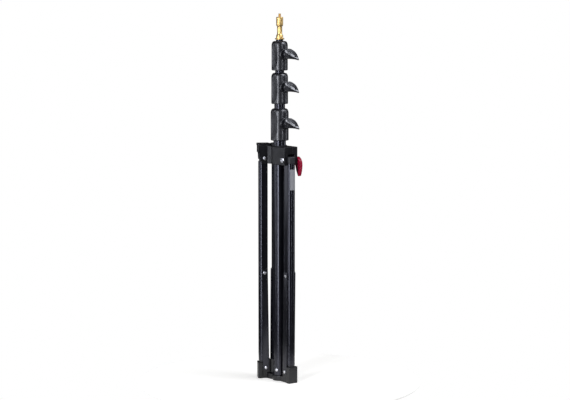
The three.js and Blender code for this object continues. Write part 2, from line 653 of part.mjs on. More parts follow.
stand.add(legGroup(LEGS[2], label()));

export default stand;
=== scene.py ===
"""The looks of a folding lighting stand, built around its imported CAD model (Blender 4.5).

The CAD model gives every place and size: pivots and headings come from the joints, and lengths
from the nodes' boxes. Shapes are worked out here in millimetres and stored in metres.
"""
import json
import math

import bmesh
import bpy
from mathutils import Matrix, Vector

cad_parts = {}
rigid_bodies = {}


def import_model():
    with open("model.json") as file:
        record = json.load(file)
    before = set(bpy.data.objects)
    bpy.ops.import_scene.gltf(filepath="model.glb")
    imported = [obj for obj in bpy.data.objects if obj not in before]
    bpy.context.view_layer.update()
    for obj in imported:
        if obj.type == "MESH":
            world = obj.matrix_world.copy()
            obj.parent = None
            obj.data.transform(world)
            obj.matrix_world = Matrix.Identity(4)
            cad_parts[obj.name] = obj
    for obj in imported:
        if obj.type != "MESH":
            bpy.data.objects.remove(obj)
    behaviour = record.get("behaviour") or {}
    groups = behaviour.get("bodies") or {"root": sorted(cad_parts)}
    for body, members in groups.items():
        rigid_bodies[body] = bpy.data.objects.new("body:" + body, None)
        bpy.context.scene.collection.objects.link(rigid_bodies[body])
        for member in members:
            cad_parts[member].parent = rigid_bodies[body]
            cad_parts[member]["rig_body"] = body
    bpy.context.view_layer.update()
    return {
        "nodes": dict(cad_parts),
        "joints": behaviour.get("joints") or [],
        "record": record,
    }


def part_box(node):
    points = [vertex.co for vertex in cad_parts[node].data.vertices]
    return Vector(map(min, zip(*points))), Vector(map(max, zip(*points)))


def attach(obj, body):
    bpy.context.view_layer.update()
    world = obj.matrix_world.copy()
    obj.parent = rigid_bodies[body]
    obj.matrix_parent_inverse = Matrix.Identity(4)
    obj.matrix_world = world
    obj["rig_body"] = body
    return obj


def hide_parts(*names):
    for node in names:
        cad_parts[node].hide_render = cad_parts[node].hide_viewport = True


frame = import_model()

MM = 0.001
NODES = frame["nodes"]
JOINTS = {joint["name"]: joint for joint in frame["joints"]}
SLOT_OF = {part["node"]: part["material_slot"] for part in frame["record"]["subparts"]}
LEG_NAMES = ("a", "b", "c")
COLLAR_NAMES = ("low", "mid", "top")
TUBE_NODES = ("base_tube", "riser_tube_1", "riser_tube_2", "riser_tube_3")


# ------------------------------------------------------------------ camera, light and floor values

SENSOR = 36.0
LENS = 126.2
VIEW_AZIMUTH = 52.94
VIEW_DISTANCE = 4.63
VIEW_HEIGHT = 0.974
VIEW_TILT = 6.744
VIEW_YAW = 0.153  # the stand stands a little left of the middle
LIGHT_TINT = (0.88, 0.91, 1.0)
FILL_STRENGTH = 0.06
FLOOR_RADIUS = 330  # small enough for the open legs to reach past its rim
FLOOR_COLOUR = (0.9, 0.87, 0.79, 1)  # a little warm, against the cool lights
FLOOR_GLOW = 0.53


# ------------------------------------------------------------------ dimensions, in millimetres

GAP = 0.3  # clearance between neighbouring pieces
TUBE_WALL = 1.5
TUBE_EDGE = 0.3

COLLAR_SEGMENTS = 180
COLLAR_RINGS = 46
COLLAR_FOOT = ((1.4, 0), (0.7, 0.2), (0.15, 0.9))  # its rounded bottom edge, as (inset, rise)
COLLAR_FOOT_HEIGHT = 2
COLLAR_SHOULDER = 10  # height of the rounded top
COLLAR_SHOULDER_INSET = 5.2
COLLAR_SHOULDER_STEPS = 10
COLLAR_RIM_INSET = 6.2
COLLAR_RIM_DROP = 0.4
BOSS_RADIUS = 13.5
BOSS_ROOT = 2  # the boss starts this far outside the inner tube
BOSS_EDGE = ((0, -0.9), (-0.3, -0.3), (-0.9, 0), (-2.2, 0), (-2.8, -1))  # (radius, height) offsets
BOSS_DISH = 1.4
WELL_RADIUS = 4.9  # the hole for the knob's screw and shoe
GRIP_DEPTH = 3.3  # how far the side grips are scooped into a collar
GRIP_BEARING = 82  # degrees from the knob to the middle of a grip
GRIP_HALF_ANGLE = 30
GRIP_HALF_SHARE = 0.43  # half the grip's height, as a share of the collar's

HUB_PROFILE = ((0, 0.2), (7.3, 0.2), (7.9, 0.8), (7.9, 6.4), (7.3, 7.6), (0, 7.9))
# Stations of the wing, from root to tip: out from the boss, along Y, then the section's top, bottom,
# ridge height and half thickness.
WING_STATIONS = (
    (4.4, -5.6, 9.6, -8.6, 5.8, 2.9),
    (5.0, -3.0, 12.4, -9.6, 4.6, 3.6),
    (6.2, 1.5, 13.8, -10, 1.6, 4.2),
    (8.6, 8, 13.6, -10.2, -3.2, 4.3),
    (11.2, 14, 10.6, -10.8, -6.2, 3.9),
    (14.3, 20, 5.0, -12, -9, 3.1),
    (16.9, 24, -3.4, -13.2, -10.8, 2.1),
    (18.2, 25.7, -9.8, -13.4, -12, 1.1),
)
WING_STEPS = 6  # rings drawn between two stations
WING_EDGE_STEPS = 4  # points drawn along each side of the section
WING_BAND = 1.55  # height of the sloping band above the ridge, in half thicknesses
DIMPLE = (12.8, 18.4, -4.2)  # bottom of the wing's round dimple: out, along Y, up
DIMPLE_RADIUS = 1.7

STUD_SHANK_RADIUS = 6.7
STUD_FLANGE = ((10.4, 0), (11, 0.5))  # the flange's lower edge, as (radius, rise above its seat)
STUD_PROFILE = (
    (11, 802.6), (10.6, 803), (8, 803), (8, 809.4), (7.7, 810.2), (6.1, 812.2), (5.9, 812.8),
    (5.9, 829.6), (6.1, 830.4), (7.7, 832.4), (8, 833.2), (8, 850.6), (7.4, 851.6), (6.8, 852),
    (3.2, 852),
)
THREAD_START = 852.6
THREAD_TURNS = 5
THREAD_ROOT = 2.5
THREAD_CREST = 3.1

LEG_BACK = -7.7
LEG_FRONT = 13.6
LEG_HALF = 10.0
LEG_CROWN = 8.2
LEG_CORNER = 1.6
LEG_WALL = 1.4
LABEL_HALF = 7.0
LABEL_THICKNESS = 0.45
LABEL_LIFT = 0.15
LABEL_STEPS = 20

BAR_HALF = 7.5
BAR_THICKNESS = 2.0
BAR_IN = 10.3
BAR_TOP_REACH = 9  # the bar runs on past its upper rivet
BAR_CORNER = 3
BAR_EDGE = 0.55

HEAD_RADIUS = 4
MID_RIVET_SEAT = 12.45  # from the leg's middle plane to the underside of the head
LOWER_PIN_SEAT = 12.6
TOP_PIN_SEAT = 14.8
CLAMP_HEAD_RADIUS = 6.3
CLAMP_HEAD_HEIGHT = 3.4
CLAMP_SHANK_RADIUS = 3


# ------------------------------------------------------------------ reading the frame

def span(node, axis):
    """Lowest and highest coordinate of a CAD node along an axis, in millimetres."""
    low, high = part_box(node)
    return low[axis] / MM, high[axis] / MM


def pivot(joint):
    return Vector(JOINTS[joint]["pos_m"]) / MM


def heading_of(letter):
    """The plan direction in which a leg opens: its hinge axis is that direction times +Z."""
    axis = Vector(JOINTS[f"leg_{letter}_open"]["axis"])
    return math.atan2(axis.x, -axis.y)


def leg_matrix(letter):
    """From a leg's own millimetres (X out, origin under its top pin) to the stand's."""
    top = pivot(f"leg_{letter}_open")
    return Matrix.Translation((top.x, top.y, 0)) @ Matrix.Rotation(heading_of(letter), 4, "Z")


# ------------------------------------------------------------------ making meshes

def new_object(name, mesh):
    made = bpy.data.objects.new(name, mesh)
    bpy.context.scene.collection.objects.link(made)
    return made


def from_bmesh(name, bm, smooth_angle=32):
    """Stores a bmesh drawn in millimetres as an object in metres, smooth except at sharp edges."""
    bmesh.ops.recalc_face_normals(bm, faces=bm.faces)
    bmesh.ops.scale(bm, vec=(MM, MM, MM), verts=bm.verts)
    mesh = bpy.data.meshes.new(name)
    bm.to_mesh(mesh)
    bm.free()
    made = new_object(name, mesh)
    shade(made, smooth_angle)
    return made


def shade(piece, smooth_angle):
    mesh = piece.data
    mesh.polygons.foreach_set("use_smooth", [True] * len(mesh.polygons))
    mesh.set_sharp_from_angle(angle=math.radians(smooth_angle))


def place(piece, matrix):
    """Moves a piece's vertices by a matrix in millimetres, so that its object stays at the origin."""
    scaled = matrix.copy()
    scaled.translation *= MM
    piece.data.transform(scaled)
    return piece


def apply_modifiers(piece):
    graph = bpy.context.evaluated_depsgraph_get()
    mesh = bpy.data.meshes.new_from_object(piece.evaluated_get(graph))
    piece.modifiers.clear()
    old = piece.data
    piece.data = mesh
    bpy.data.meshes.remove(old)
    return piece


def bevel(piece, width, segments=3, angle=30):
    """Rounds the sharp edges by a width in millimetres."""
    modifier = piece.modifiers.new("round", "BEVEL")
    modifier.width = width * MM
    modifier.segments = segments
    modifier.limit_method = "ANGLE"
    modifier.angle_limit = math.radians(angle)
    modifier.harden_normals = False
    return apply_modifiers(piece)


def combine(piece, others, operation="UNION"):
    for other in others:
        modifier = piece.modifiers.new("combine", "BOOLEAN")
        modifier.operation = operation
        modifier.solver = "EXACT"
        modifier.object = other
        apply_modifiers(piece)
        bpy.data.objects.remove(other)
    return piece


def soften(piece, voxel, rounds, smooth_angle=60):
    """Remeshes a piece finely and relaxes it, so that its edges are round as on a moulding."""
    remesh = piece.modifiers.new("remesh", "REMESH")
    remesh.mode = "VOXEL"
    remesh.voxel_size = voxel * MM
    smooth = piece.modifiers.new("relax", "SMOOTH")
    smooth.factor = 0.5
    smooth.iterations = rounds
    apply_modifiers(piece)
    shade(piece, smooth_angle)
    return piece


def turned(name, profile, segments=96, closed=False, smooth_angle=32):
    """A solid of revolution about Z. A closed profile is a ring, an open one ends on the axis."""
    bm = bmesh.new()
    rings = []
    for radius, height in profile:
        if radius < 1e-6:
            rings.append([bm.verts.new((0, 0, height))])
            continue
        turns = [2 * math.pi * i / segments for i in range(segments)]
        rings.append([bm.verts.new((radius * math.cos(t), radius * math.sin(t), height)) for t in turns])
    pairs = list(zip(rings, rings[1:]))
    if closed:
        pairs.append((rings[-1], rings[0]))
    for lower, upper in pairs:
        for i in range(segments):
            j = (i + 1) % segments
            below = [lower[i % len(lower)], lower[j % len(lower)]]
            above = [upper[j % len(upper)], upper[i % len(upper)]]
            unique = list(dict.fromkeys(below + above))
            if len(unique) > 2:
                bm.faces.new(unique)
    return from_bmesh(name, bm, smooth_angle)


def rod(name, radius, low, high, segments):
    """A plain round cutter or shank along +Z."""
    return turned(name, [(0, low), (radius, low), (radius, high), (0, high)], segments)


def prism(name, outline, low, high, hole=None, smooth_angle=32):
    """An upright prism of a plan outline, with an optional hole of as many points."""
    bm = bmesh.new()
    outlines = [outline] if hole is None else [outline, hole]
    levels = []
    for height in (low, high):
        levels.append([[bm.verts.new((x, y, height)) for x, y in points] for points in outlines])
    count = len(outline)
    for below, above in zip(*levels):
        for i in range(count):
            j = (i + 1) % count
            bm.faces.new((below[i], below[j], above[j], above[i]))
    for loops in levels:
        if hole is None:
            bm.faces.new(loops[0])
        else:
            for i in range(count):
                j = (i + 1) % count
                bm.faces.new((loops[0][i], loops[0][j], loops[1][j], loops[1][i]))
    return from_bmesh(name, bm, smooth_angle)


def arc(centre, radius, start, end, steps):
    """Points of a circular arc, from start to end degrees."""
    turns = [math.radians(start + (end - start) * i / steps) for i in range(steps + 1)]
    return [(centre[0] + radius * math.cos(t), centre[1] + radius * math.sin(t)) for t in turns]


UPRIGHT_TO_X = Matrix.Rotation(math.pi / 2, 4, "Y")  # +Z becomes +X
UPRIGHT_TO_Y = Matrix.Rotation(-math.pi / 2, 4, "X")  # +Z becomes +Y
XY_TO_XZ = Matrix.Rotation(math.pi / 2, 4, "X")  # a plan outline stands up in X and Z


# ------------------------------------------------------------------ materials

def new_material(name):
    material = bpy.data.materials.new(name)
    material.use_nodes = True
    tree = material.node_tree
    shader = tree.nodes["Principled BSDF"]
    return material, tree, shader


def node(tree, kind, **settings):
    made = tree.nodes.new(kind)
    for key, value in settings.items():
        if key in made.inputs:
            made.inputs[key].default_value = value
        else:
            setattr(made, key, value)
    return made


def own_coordinates(tree, stretch=(1, 1, 1)):
    """The piece's own coordinates in metres, scaled along its axes."""
    coordinates = node(tree, "ShaderNodeTexCoord")
    mapping = node(tree, "ShaderNodeMapping")
    mapping.inputs["Scale"].default_value = stretch
    tree.links.new(coordinates.outputs["Object"], mapping.inputs["Vector"])
    return mapping.outputs["Vector"]


def noise_of(tree, where, scale, detail=3.0, roughness=0.55):
    texture = node(tree, "ShaderNodeTexNoise", Scale=scale, Detail=detail, Roughness=roughness)
    tree.links.new(where, texture.inputs["Vector"])
    return texture.outputs["Fac"]


def ramp(tree, value, stops):
    """A colour ramp through (position, colour) stops."""
    made = node(tree, "ShaderNodeValToRGB")
    elements = made.color_ramp.elements
    while len(elements) < len(stops):
        elements.new(0.5)
    for element, (position, colour) in zip(elements, stops):
        element.position = position
        element.color = colour if len(colour) == 4 else (*colour, 1)
    tree.links.new(value, made.inputs["Fac"])
    return made.outputs["Color"]


def grey(value):
    return (value, value, value)


def lighter(colour, factor):
    return tuple(min(1.0, channel * factor) for channel in colour)


def mixed(tree, factor, first, second):
    mix = node(tree, "ShaderNodeMix", data_type="RGBA")
    tree.links.new(factor, mix.inputs["Factor"])
    tree.links.new(first, mix.inputs["A"])
    tree.links.new(second, mix.inputs["B"])
    return mix.outputs["Result"]


def bumped(tree, shader, height, strength, distance):
    bump = node(tree, "ShaderNodeBump", Strength=strength, Distance=distance)
    tree.links.new(height, bump.inputs["Height"])
    tree.links.new(bump.outputs["Normal"], shader.inputs["Normal"])
    return bump


def moulded(name, colour, roughness, grain=2600, relief=0.25, worn=2.2, coat=0.0, specular=0.5):
    """Moulded plastic: a fine spark-eroded grain, cloudy colour and edges rubbed a little lighter."""
    material, tree, shader = new_material(name)
    where = own_coordinates(tree)
    cloud = noise_of(tree, where, 38, 4)
    plain = ramp(tree, cloud, [(0.3, lighter(colour, 0.82)), (0.7, lighter(colour, 1.2))])
    edges = node(tree, "ShaderNodeNewGeometry").outputs["Pointiness"]
    rubbed = ramp(tree, edges, [(0.53, grey(0)), (0.62, grey(1))])
    breaks = ramp(tree, noise_of(tree, where, 240, 4), [(0.45, grey(0)), (0.7, grey(1))])
    wear = node(tree, "ShaderNodeMath", operation="MULTIPLY")
    tree.links.new(rubbed, wear.inputs[0])
    tree.links.new(breaks, wear.inputs[1])
    light = ramp(tree, cloud, [(0.3, lighter(colour, worn)), (0.7, lighter(colour, worn * 1.3))])
    tree.links.new(mixed(tree, wear.outputs[0], plain, light), shader.inputs["Base Color"])
    rough = ramp(tree, noise_of(tree, where, 90, 5),
                 [(0.3, grey(roughness - 0.06)), (0.7, grey(roughness + 0.07))])
    tree.links.new(rough, shader.inputs["Roughness"])
    bumped(tree, shader, noise_of(tree, where, grain, 2), relief, 0.00003)
    shader.inputs["IOR"].default_value = 1.5
    shader.inputs["Specular IOR Level"].default_value = specular
    shader.inputs["Coat Weight"].default_value = coat
    shader.inputs["Coat Roughness"].default_value = 0.12
    return material


def anodised(name, colour, roughness, along=(1, 1, 0.02)):
    """Black anodised aluminium: drawn lines along the tube, and faint handling marks."""
    material, tree, shader = new_material(name)
    lines = noise_of(tree, own_coordinates(tree, along), 2400, 3)
    smears = noise_of(tree, own_coordinates(tree, (1, 1, 0.25)), 55, 5)
    base = ramp(tree, smears, [(0.3, lighter(colour, 0.75)), (0.75, lighter(colour, 1.35))])
    tree.links.new(base, shader.inputs["Base Color"])
    rough = ramp(tree, smears, [(0.25, grey(roughness - 0.05)), (0.75, grey(roughness + 0.08))])
    tree.links.new(rough, shader.inputs["Roughness"])
    bumped(tree, shader, lines, 0.1, 0.000006)
    shader.inputs["IOR"].default_value = 1.5
    shader.inputs["Specular IOR Level"].default_value = 0.55
    shader.inputs["Specular Tint"].default_value = (0.85, 0.86, 1.0, 1)
    return material


def bare_metal(name, colour, roughness, along=(1, 1, 1), line_scale=1500, relief=0.1):
    """Bright metal with fine tooling lines and slight tarnish."""
    material, tree, shader = new_material(name)
    tarnish = noise_of(tree, own_coordinates(tree), 160, 5)
    base = ramp(tree, tarnish, [(0.3, lighter(colour, 0.78)), (0.7, lighter(colour, 1.06))])
    tree.links.new(base, shader.inputs["Base Color"])
    rough = ramp(tree, tarnish, [(0.3, grey(roughness - 0.04)), (0.7, grey(roughness + 0.08))])
    tree.links.new(rough, shader.inputs["Roughness"])
    bumped(tree, shader, noise_of(tree, own_coordinates(tree, along), line_scale, 2), relief, 0.000005)
    shader.inputs["Metallic"].default_value = 1.0
    return material


def printed_film(name, colour):
    """A plain label: matt film with a faint mottled print and rubbed patches."""
    material, tree, shader = new_material(name)
    where = own_coordinates(tree)
    print_grain = noise_of(tree, where, 900, 3)
    base = ramp(tree, print_grain, [(0.35, lighter(colour, 0.8)), (0.65, lighter(colour, 1.25))])
    tree.links.new(base, shader.inputs["Base Color"])
    rough = ramp(tree, noise_of(tree, where, 120, 4), [(0.3, grey(0.42)), (0.7, grey(0.6))])
    tree.links.new(rough, shader.inputs["Roughness"])
    bumped(tree, shader, print_grain, 0.15, 0.00005)
    return material


LOOKS = {
    "black_tube": anodised("black_tube", (0.003, 0.003, 0.0045), 0.2),
    "black_bar": anodised("black_bar", (0.003, 0.003, 0.004), 0.26),
    "black_casting": moulded("black_casting", (0.004, 0.004, 0.005), 0.33, specular=0.42),
    "black_collar": moulded("black_collar", (0.006, 0.006, 0.0085), 0.33, grain=3000, specular=0.85),
    "black_knob": moulded("black_knob", (0.008, 0.008, 0.0105), 0.32, grain=3200, specular=1.0),
    "grey_bush": moulded("grey_bush", (0.012, 0.012, 0.014), 0.5),
    "steel": bare_metal("steel", (0.6, 0.6, 0.62), 0.34),
    "brass": bare_metal("brass", (0.9, 0.62, 0.24), 0.4, along=(0.05, 0.05, 1), line_scale=2600),
    "red_lever": moulded("red_lever", (0.32, 0.005, 0.03), 0.26, grain=900, relief=0.05, worn=1.3,
                         coat=0.5),
    "grey_label": printed_film("grey_label", (0.25, 0.25, 0.255)),
}


def finish_piece(piece, nodes, body=None):
    """Gives a new piece its material, slot and body, and hides the CAD nodes that it stands for."""
    nodes = [nodes] if isinstance(nodes, str) else list(nodes)
    slot = SLOT_OF[nodes[0]]
    piece.data.materials.clear()
    piece.data.materials.append(LOOKS[slot])
    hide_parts(*nodes)
    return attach(piece, body or NODES[nodes[0]]["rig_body"])


# ------------------------------------------------------------------ camera, light and floor

def make_camera():
    data = bpy.data.cameras.new("camera")
    data.sensor_width = SENSOR
    data.lens = LENS
    camera = new_object("camera", data)
    azimuth = math.radians(VIEW_AZIMUTH)
    back = Vector((math.sin(azimuth), -math.cos(azimuth), 0))
    right = Vector((math.cos(azimuth), math.sin(azimuth), 0))
    yaw, tilt = math.radians(VIEW_YAW), math.radians(VIEW_TILT)
    level = right * math.sin(yaw) - back * math.cos(yaw)
    forward = level * math.cos(tilt) - Vector((0, 0, math.sin(tilt)))
    camera.location = back * VIEW_DISTANCE + Vector((0, 0, VIEW_HEIGHT))
    camera.rotation_mode = "QUATERNION"
    camera.rotation_quaternion = forward.to_track_quat("-Z", "Y")
    bpy.context.scene.camera = camera


def soft_box(name, bearing, distance, height, size, power, aim_height=0.42):
    """An area light whose bearing is in degrees to the right of the camera's, as the stand sees it."""
    data = bpy.data.lights.new(name, "AREA")
    data.shape = "RECTANGLE"
    data.size, data.size_y = size
    data.energy = power
    data.color = LIGHT_TINT
    light = new_object(name, data)
    azimuth = math.radians(VIEW_AZIMUTH + bearing)
    light.location = Vector((math.sin(azimuth) * distance, -math.cos(azimuth) * distance, height))
    aim = Vector((0, 0, aim_height)) - light.location
    light.rotation_mode = "QUATERNION"
    light.rotation_quaternion = aim.to_track_quat("-Z", "Y")


def make_lights():
    soft_box("key_strip", -29, 2.2, 0.8, (0.4, 2.2), 42)
    soft_box("right_strip", 37, 2.4, 0.9, (0.1, 2.0), 9)
    soft_box("side_left", -74, 1.6, 0.8, (0.3, 1.8), 8)
    soft_box("side_right", 98, 1.6, 0.8, (0.16, 1.8), 5)
    soft_box("casting_glow", -106, 1.6, 0.4, (0.5, 0.35), 0.8)
    soft_box("overhead", 66, 1.6, 2.3, (1.1, 1.1), 36, aim_height=0.6)


def make_world():
    """White to the camera, and a dim even fill to everything else."""
    world = bpy.data.worlds.new("studio")
    world.use_nodes = True
    bpy.context.scene.world = world
    tree = world.node_tree
    tree.nodes.clear()
    seen = node(tree, "ShaderNodeBackground", Color=(1, 1, 1, 1), Strength=1.0)
    fill = node(tree, "ShaderNodeBackground", Color=(1, 1, 1, 1), Strength=FILL_STRENGTH)
    choose = node(tree, "ShaderNodeMixShader")
    rays = node(tree, "ShaderNodeLightPath")
    output = node(tree, "ShaderNodeOutputWorld")
    tree.links.new(rays.outputs["Is Camera Ray"], choose.inputs[0])
    tree.links.new(fill.outputs[0], choose.inputs[1])
    tree.links.new(seen.outputs[0], choose.inputs[2])
    tree.links.new(choose.outputs[0], output.inputs["Surface"])


def make_floor():
    """A round white table top, nearly as bright as the white behind it."""
    floor = turned("floor", [(0, -6), (FLOOR_RADIUS - 2, -6), (FLOOR_RADIUS, -4), (FLOOR_RADIUS, -1.2),
                             (FLOOR_RADIUS - 1.2, -0.05), (0, -0.05)], 128)
    material, tree, shader = new_material("floor_white")
    shader.inputs["Base Color"].default_value = FLOOR_COLOUR
    shader.inputs["Roughness"].default_value = 0.7
    shader.inputs["Emission Color"].default_value = (1, 1, 1, 1)
    shader.inputs["Emission Strength"].default_value = FLOOR_GLOW
    floor.data.materials.append(material)


# ------------------------------------------------------------------ round tubes

def outer_radius(name):
    low, high = span(name, 1)
    return (high - low) / 2


def round_tube(name):
    low, high = span(name, 2)
    outer = outer_radius(name)
    inner = outer - TUBE_WALL
    profile = [(inner, low), (outer - TUBE_EDGE, low), (outer, low + TUBE_EDGE),
               (outer, high - TUBE_EDGE), (outer - TUBE_EDGE, high), (inner, high)]
    finish_piece(turned(f"{name}_drawn", profile, closed=True), name)


# ------------------------------------------------------------------ riser collars

def collar_profile(node_name, body_radius, outer_tube, inner_tube, tube_top):
    """The ring section of a collar, as (radius, height, outside?) going round."""
    low, high = span(node_name, 2)
    outside = [(body_radius - inset, low + rise) for inset, rise in COLLAR_FOOT]
    start = low + COLLAR_FOOT_HEIGHT
    end = high - COLLAR_SHOULDER
    for i in range(COLLAR_RINGS + 1):
        outside.append((body_radius, start + (end - start) * i / COLLAR_RINGS))
    for i in range(1, COLLAR_SHOULDER_STEPS + 1):
        turn = math.radians(90 * i / COLLAR_SHOULDER_STEPS)
        inset = COLLAR_SHOULDER_INSET * (1 - math.cos(turn)) ** 0.9
        rise = (COLLAR_SHOULDER - COLLAR_RIM_DROP) * math.sin(turn)
        outside.append((body_radius - inset, end + rise))
    outside.append((body_radius - COLLAR_RIM_INSET, high))
    inside = [(inner_tube + GAP, high), (inner_tube + GAP, tube_top + GAP),
              (outer_tube + GAP, tube_top + GAP), (outer_tube + GAP, low)]
    return [(r, z, True) for r, z in outside] + [(r, z, False) for r, z in inside]


def grip_scoop(bearing, share):
    """How deep the lens-shaped grips are at a bearing from the knob and a share of the height."""
    deepest = 0.0
    for middle in (-GRIP_BEARING, GRIP_BEARING):
        away = (bearing - middle) / GRIP_HALF_ANGLE
        up = (share - 0.5) / GRIP_HALF_SHARE
        inside = 1 - away * away - up * up * (1 - 0.25 * away * away)
        if inside > 0:
            deepest = max(deepest, GRIP_DEPTH * inside ** 0.8)
    return deepest


def riser_collar(place_name, index):
    name = f"collar_{place_name}"
    low, high = span(name, 2)
    outer_tube, inner_tube = outer_radius(TUBE_NODES[index]), outer_radius(TUBE_NODES[index + 1])
    tube_top = span(TUBE_NODES[index], 2)[1]
    profile = collar_profile(name, outer_radius(name), outer_tube, inner_tube, tube_top)
    bm = bmesh.new()
    rings = []
    for ring_radius, height, outside in profile:
        ring = []
        for i in range(COLLAR_SEGMENTS):
            turn = 2 * math.pi * i / COLLAR_SEGMENTS
            bearing = math.degrees(math.atan2(math.sin(turn), math.cos(turn)))
            scoop = grip_scoop(bearing, (height - low) / (high - low)) if outside else 0
            reach = ring_radius - scoop
            ring.append(bm.verts.new((reach * math.cos(turn), reach * math.sin(turn), height)))
        rings.append(ring)
    for lower, upper in zip(rings, rings[1:] + rings[:1]):
        for i in range(COLLAR_SEGMENTS):
            j = (i + 1) % COLLAR_SEGMENTS
            bm.faces.new((lower[i], lower[j], upper[j], upper[i]))
    body = from_bmesh(f"{name}_moulded", bm, 40)

    front = span(name, 0)[1]
    root = inner_tube + BOSS_ROOT
    edge = [(BOSS_RADIUS + wider, front + further) for wider, further in BOSS_EDGE]
    boss = turned("boss", [(0, root), (BOSS_RADIUS, root), *edge, (0, front - BOSS_DISH)], 96)
    well = rod("well", WELL_RADIUS, inner_tube - 3, front + 1, 48)
    to_knob = Matrix.Translation((0, 0, pivot(f"knob_{place_name}_turn").z)) @ UPRIGHT_TO_X
    combine(body, [place(boss, to_knob)])
    combine(body, [place(well, to_knob)], "DIFFERENCE")
    shade(body, 40)
    finish_piece(body, name)


# ------------------------------------------------------------------ wing knobs

def through_stations(stations, steps):
    """Smooth values through a list of stations (Catmull-Rom)."""
    padded = [stations[0], *stations, stations[-1]]
    rows = []
    for i in range(1, len(padded) - 2):
        for k in range(steps):
            t = k / steps
            rows.append([
                b + 0.5 * t * (c - a + t * (2 * a - 5 * b + 4 * c - d + t * (3 * (b - c) + d - a)))
                for a, b, c, d in zip(*padded[i - 1:i + 3])
            ])
    return rows + [stations[-1]]


def wing_section(top, bottom, ridge, half):
    """Points round a section as (out, up): a thin upper plate, a sloping band, the ridge, an undercut."""
    shoulder = min(ridge + WING_BAND * half, top - 0.3)
    front = [(0.0, top), (0.14 * half, shoulder), (half, ridge), (0.5 * half, bottom + 0.6)]
    back = [(-0.6 * half, bottom + 1.2), (-0.75 * half, (top + bottom) / 2), (-0.55 * half, top - 0.8)]
    corners = front + [(0.0, bottom)] + back
    points = []
    for start, end in zip(corners, corners[1:] + corners[:1]):
        for k in range(WING_EDGE_STEPS):
            share = k / WING_EDGE_STEPS
            points.append(tuple(a + (b - a) * share for a, b in zip(start, end)))
    return points


def wing_knob(place_name):
    """A hub along +X with one wing, which runs along +Y and droops to a pointed tip."""
    name = f"wing_knob_{place_name}"
    face = span(name, 0)[0]
    height = pivot(f"knob_{place_name}_turn").z
    hub = place(turned(f"{name}_moulded", HUB_PROFILE, 64), UPRIGHT_TO_X)

    bm = bmesh.new()
    rings = []
    for out, along, top, bottom, ridge, half in through_stations(WING_STATIONS, WING_STEPS):
        section = wing_section(top, bottom, ridge, half)
        rings.append([bm.verts.new((out + reach, along, up)) for reach, up in section])
    sides = len(rings[0])
    for lower, upper in zip(rings, rings[1:]):
        for k in range(sides):
            j = (k + 1) % sides
            bm.faces.new((lower[k], lower[j], upper[j], upper[k]))
    bm.faces.new(rings[0])
    bm.faces.new(rings[-1])
    wing = from_bmesh("wing", bm)

    dimple = rod("dimple", DIMPLE_RADIUS, 0, 8, 32)
    place(dimple, Matrix.Translation(DIMPLE) @ UPRIGHT_TO_X)
    combine(hub, [wing])
    combine(hub, [dimple], "DIFFERENCE")
    soften(hub, voxel=0.36, rounds=3)
    place(hub, Matrix.Translation((face, 0, height)))
    finish_piece(hub, name)


# ------------------------------------------------------------------ stud

def stud():
    bottom, top = span("stud_16mm", 2)
    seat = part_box("riser_tube_3")[1].z / MM + GAP
    profile = [(0, bottom), (STUD_SHANK_RADIUS, bottom), (STUD_SHANK_RADIUS, seat)]
    profile += [(radius, seat + rise) for radius, rise in STUD_FLANGE]
    profile += STUD_PROFILE
    pitch = (top - 1 - THREAD_START) / THREAD_TURNS
    for i in range(THREAD_TURNS):
        start = THREAD_START + i * pitch
        profile += [(THREAD_ROOT, start), (THREAD_CREST, start + pitch * 0.4),
                    (THREAD_CREST, start + pitch * 0.6)]
    profile += [(2.4, top - 0.6), (2.1, top), (0, top)]
    finish_piece(turned("stud_16mm_turned", profile, 96, smooth_angle=28), "stud_16mm")


# ------------------------------------------------------------------ legs, feet and braces

def leg_outline(margin):
    """The leg's section: flat back with round corners, straight sides, elliptical front."""
    back, half = LEG_BACK + margin, LEG_HALF - margin
    shoulder, crown = LEG_FRONT - LEG_CROWN, LEG_CROWN - margin
    corner = max(LEG_CORNER - margin, 0.4)
    points = arc((back + corner, half - corner), corner, 90, 180, 5)
    points += arc((back + corner, corner - half), corner, 180, 270, 5)
    steps = 32
    for i in range(steps + 1):
        turn = math.pi * (i / steps - 0.5)
        points.append((shoulder + crown * math.cos(turn), half * math.sin(turn)))
    return points


def leg_tube(letter):
    name = f"leg_tube_{letter}"
    low, high = span(name, 2)
    tube = prism(f"{name}_drawn", leg_outline(0), low, high, leg_outline(LEG_WALL), 24)
    place(tube, leg_matrix(letter))
    finish_piece(tube, name)


def leg_label():
    """A plain strip that follows the crowned front of leg C. It carries no lettering."""
    low, high = span("leg_label", 2)

    def surface(across):
        crown = LEG_CROWN * math.sqrt(1 - (across / LEG_HALF) ** 2)
        return LEG_FRONT - LEG_CROWN + crown + LABEL_LIFT

    across = [LABEL_HALF * (2 * i / LABEL_STEPS - 1) for i in range(LABEL_STEPS + 1)]
    inner = [(surface(a), a) for a in across]
    outer = [(surface(a) + LABEL_THICKNESS, a) for a in reversed(across)]
    strip = prism("leg_label_film", inner + outer, low, high)
    place(strip, leg_matrix("c"))
    finish_piece(strip, "leg_label")


